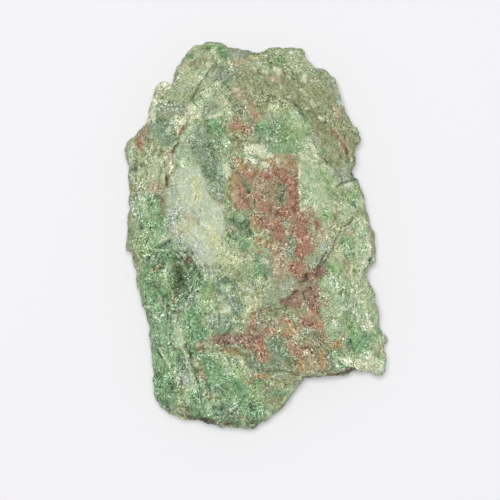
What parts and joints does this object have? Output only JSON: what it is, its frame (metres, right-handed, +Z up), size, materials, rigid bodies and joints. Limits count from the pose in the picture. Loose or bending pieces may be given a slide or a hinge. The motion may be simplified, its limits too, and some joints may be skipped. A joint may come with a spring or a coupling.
{
  "type": "raw green opal",
  "caption": "Palm-sized slab of rough green opal, with a ragged outline, a scarred low-domed face, broken edges and a flat parting plane underneath.",
  "frame": {"origin": "under the middle of the slab, on the surface it rests on", "axes": "+Z up through the slab's thickness, +Y from the foot of the stone to its ragged crown, +X to the side of the overhanging plate"},
  "size_m": [0.05, 0.074, 0.015],
  "materials": {
    "green_stone": "rough broken stone, waxy in places"
  },
  "bodies": {
    "root": {"opal": "green_stone"}
  },
  "joints": []
}
